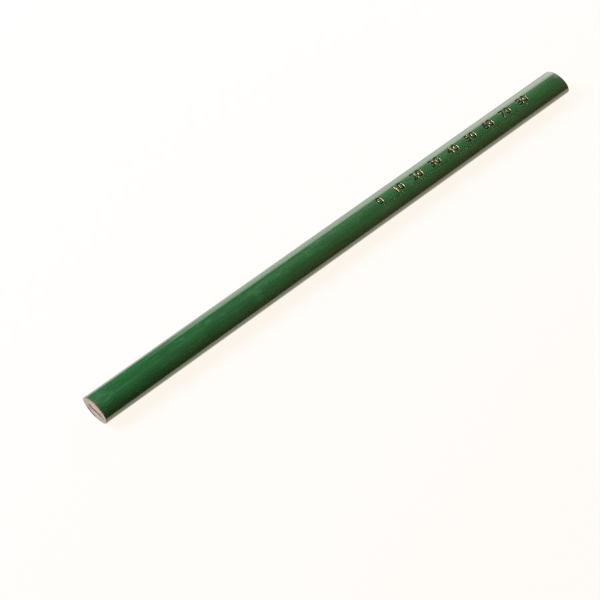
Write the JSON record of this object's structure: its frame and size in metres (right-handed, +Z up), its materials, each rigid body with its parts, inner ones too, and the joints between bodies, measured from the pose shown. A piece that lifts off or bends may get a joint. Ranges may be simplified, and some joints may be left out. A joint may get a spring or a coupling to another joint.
{
  "type": "oval graphite pencil",
  "caption": "Long oval pencil of glued wood with a flat graphite lead, green lacquer and square-cut bare ends, unsharpened, for marking on building materials.",
  "frame": {"origin": "middle of the lowest line of the oval barrel, where it lies on a table", "axes": "+X along the barrel from the end that is sharpened to the stamped end, +Y across the barrel's width, +Z up through the middle of the stamped broad side"},
  "size_m": [0.24, 0.0132, 0.0086],
  "materials": {
    "slat_wood": "matte",
    "graphite": "satin",
    "wood_glue": "satin",
    "green_lacquer": "gloss",
    "stamping_foil": "polished"
  },
  "bodies": {
    "root": {"lower_slat": "slat_wood", "upper_slat": "slat_wood", "graphite_lead": "graphite", "glue_film": "wood_glue", "lacquer_coat": "green_lacquer"}
  },
  "joints": []
}
